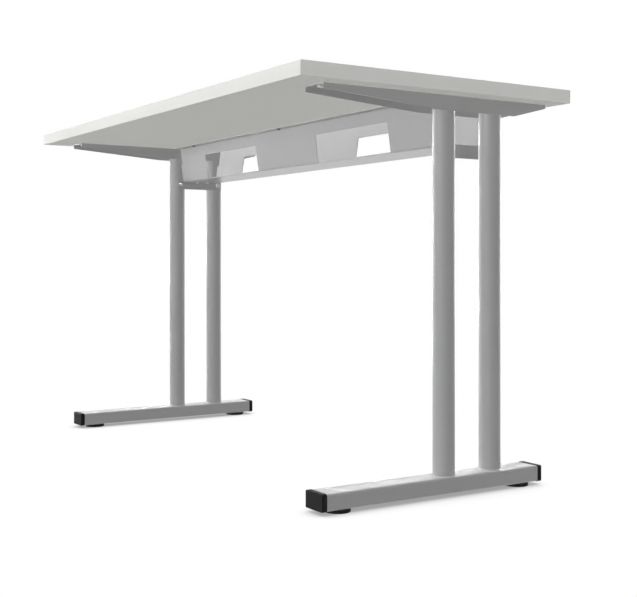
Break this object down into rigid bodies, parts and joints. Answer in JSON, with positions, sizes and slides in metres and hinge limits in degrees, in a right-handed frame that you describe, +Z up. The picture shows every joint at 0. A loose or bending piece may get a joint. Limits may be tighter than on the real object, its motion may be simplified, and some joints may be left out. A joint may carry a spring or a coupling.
{
  "type": "c-leg desk",
  "caption": "Rectangular desk on two C-shaped twin-column steel legs with levelling feet, and a folded cable tray with windows under the desktop.",
  "frame": {"origin": "on the floor, under the middle of the desktop", "axes": "+X to the user's right along the desktop, +Y to the back of the desk, +Z up; the user sits at the -Y side"},
  "size_m": [1.2, 0.6, 0.74],
  "materials": {
    "melamine_board": "melamine-faced chipboard, light grey-white, satin",
    "edge_band": "ABS edge band, light grey-white, satin",
    "silver_powder_coat": "silver-grey fine powder coat on steel",
    "black_plastic": "moulded black plastic, fine grain",
    "zinc_steel": "zinc-plated steel",
    "black_screws": "blackened steel screws"
  },
  "bodies": {
    "desk": {"desktop_board": "melamine_board", "front_edge_band": "edge_band", "rear_edge_band": "edge_band", "left_edge_band": "edge_band", "right_edge_band": "edge_band", "tray_front_panel": "silver_powder_coat", "tray_rear_panel": "silver_powder_coat", "tray_floor": "silver_powder_coat", "front_flange_screws": "black_screws", "rear_flange_screws": "black_screws", "left_front_column": "silver_powder_coat", "left_rear_column": "silver_powder_coat", "right_front_column": "silver_powder_coat", "right_rear_column": "silver_powder_coat", "left_arm": "silver_powder_coat", "right_arm": "silver_powder_coat", "left_arm_screws": "zinc_steel", "right_arm_screws": "zinc_steel", "left_arm_sleeves": "zinc_steel", "right_arm_sleeves": "zinc_steel", "left_foot_tube": "silver_powder_coat", "right_foot_tube": "silver_powder_coat", "left_weld_seams": "silver_powder_coat", "right_weld_seams": "silver_powder_coat", "left_front_cap": "black_plastic", "left_rear_cap": "black_plastic", "right_front_cap": "black_plastic", "right_rear_cap": "black_plastic", "left_thread_inserts": "zinc_steel", "right_thread_inserts": "zinc_steel", "left_tray_bracket": "silver_powder_coat", "right_tray_bracket": "silver_powder_coat", "left_bracket_screws": "zinc_steel", "right_bracket_screws": "zinc_steel", "left_rivet_nuts": "zinc_steel", "right_rivet_nuts": "zinc_steel", "left_tray_screws": "zinc_steel", "right_tray_screws": "zinc_steel", "left_tray_nuts": "zinc_steel", "right_tray_nuts": "zinc_steel"},
    "left_front_stud": {"left_front_stud": "zinc_steel"},
    "left_front_pad": {"left_front_pad": "black_plastic"},
    "left_rear_stud": {"left_rear_stud": "zinc_steel"},
    "left_rear_pad": {"left_rear_pad": "black_plastic"},
    "right_front_stud": {"right_front_stud": "zinc_steel"},
    "right_front_pad": {"right_front_pad": "black_plastic"},
    "right_rear_stud": {"right_rear_stud": "zinc_steel"},
    "right_rear_pad": {"right_rear_pad": "black_plastic"}
  },
  "joints": [
    {"name": "left_front_height", "type": "slide", "parent": "desk", "child": "left_front_stud", "axis": [0, 0, -1], "range_m": [0, 0.01]},
    {"name": "left_front_turn", "type": "hinge", "parent": "left_front_stud", "child": "left_front_pad", "pos_m": [-0.538, -0.187, 0], "axis": [0, 0, -1], "range_deg": [0, 2880]},
    {"name": "left_rear_height", "type": "slide", "parent": "desk", "child": "left_rear_stud", "axis": [0, 0, -1], "range_m": [0, 0.01]},
    {"name": "left_rear_turn", "type": "hinge", "parent": "left_rear_stud", "child": "left_rear_pad", "pos_m": [-0.538, 0.221, 0], "axis": [0, 0, -1], "range_deg": [0, 2880]},
    {"name": "right_front_height", "type": "slide", "parent": "desk", "child": "right_front_stud", "axis": [0, 0, -1], "range_m": [0, 0.01]},
    {"name": "right_front_turn", "type": "hinge", "parent": "right_front_stud", "child": "right_front_pad", "pos_m": [0.538, -0.187, 0], "axis": [0, 0, -1], "range_deg": [0, 2880]},
    {"name": "right_rear_height", "type": "slide", "parent": "desk", "child": "right_rear_stud", "axis": [0, 0, -1], "range_m": [0, 0.01]},
    {"name": "right_rear_turn", "type": "hinge", "parent": "right_rear_stud", "child": "right_rear_pad", "pos_m": [0.538, 0.221, 0], "axis": [0, 0, -1], "range_deg": [0, 2880]}
  ],
  "couplings": [
    {"joint": "left_front_height", "follows": "left_front_turn", "m_per_rad": 0.0001989},
    {"joint": "left_rear_height", "follows": "left_rear_turn", "m_per_rad": 0.0001989},
    {"joint": "right_front_height", "follows": "right_front_turn", "m_per_rad": 0.0001989},
    {"joint": "right_rear_height", "follows": "right_rear_turn", "m_per_rad": 0.0001989}
  ]
}
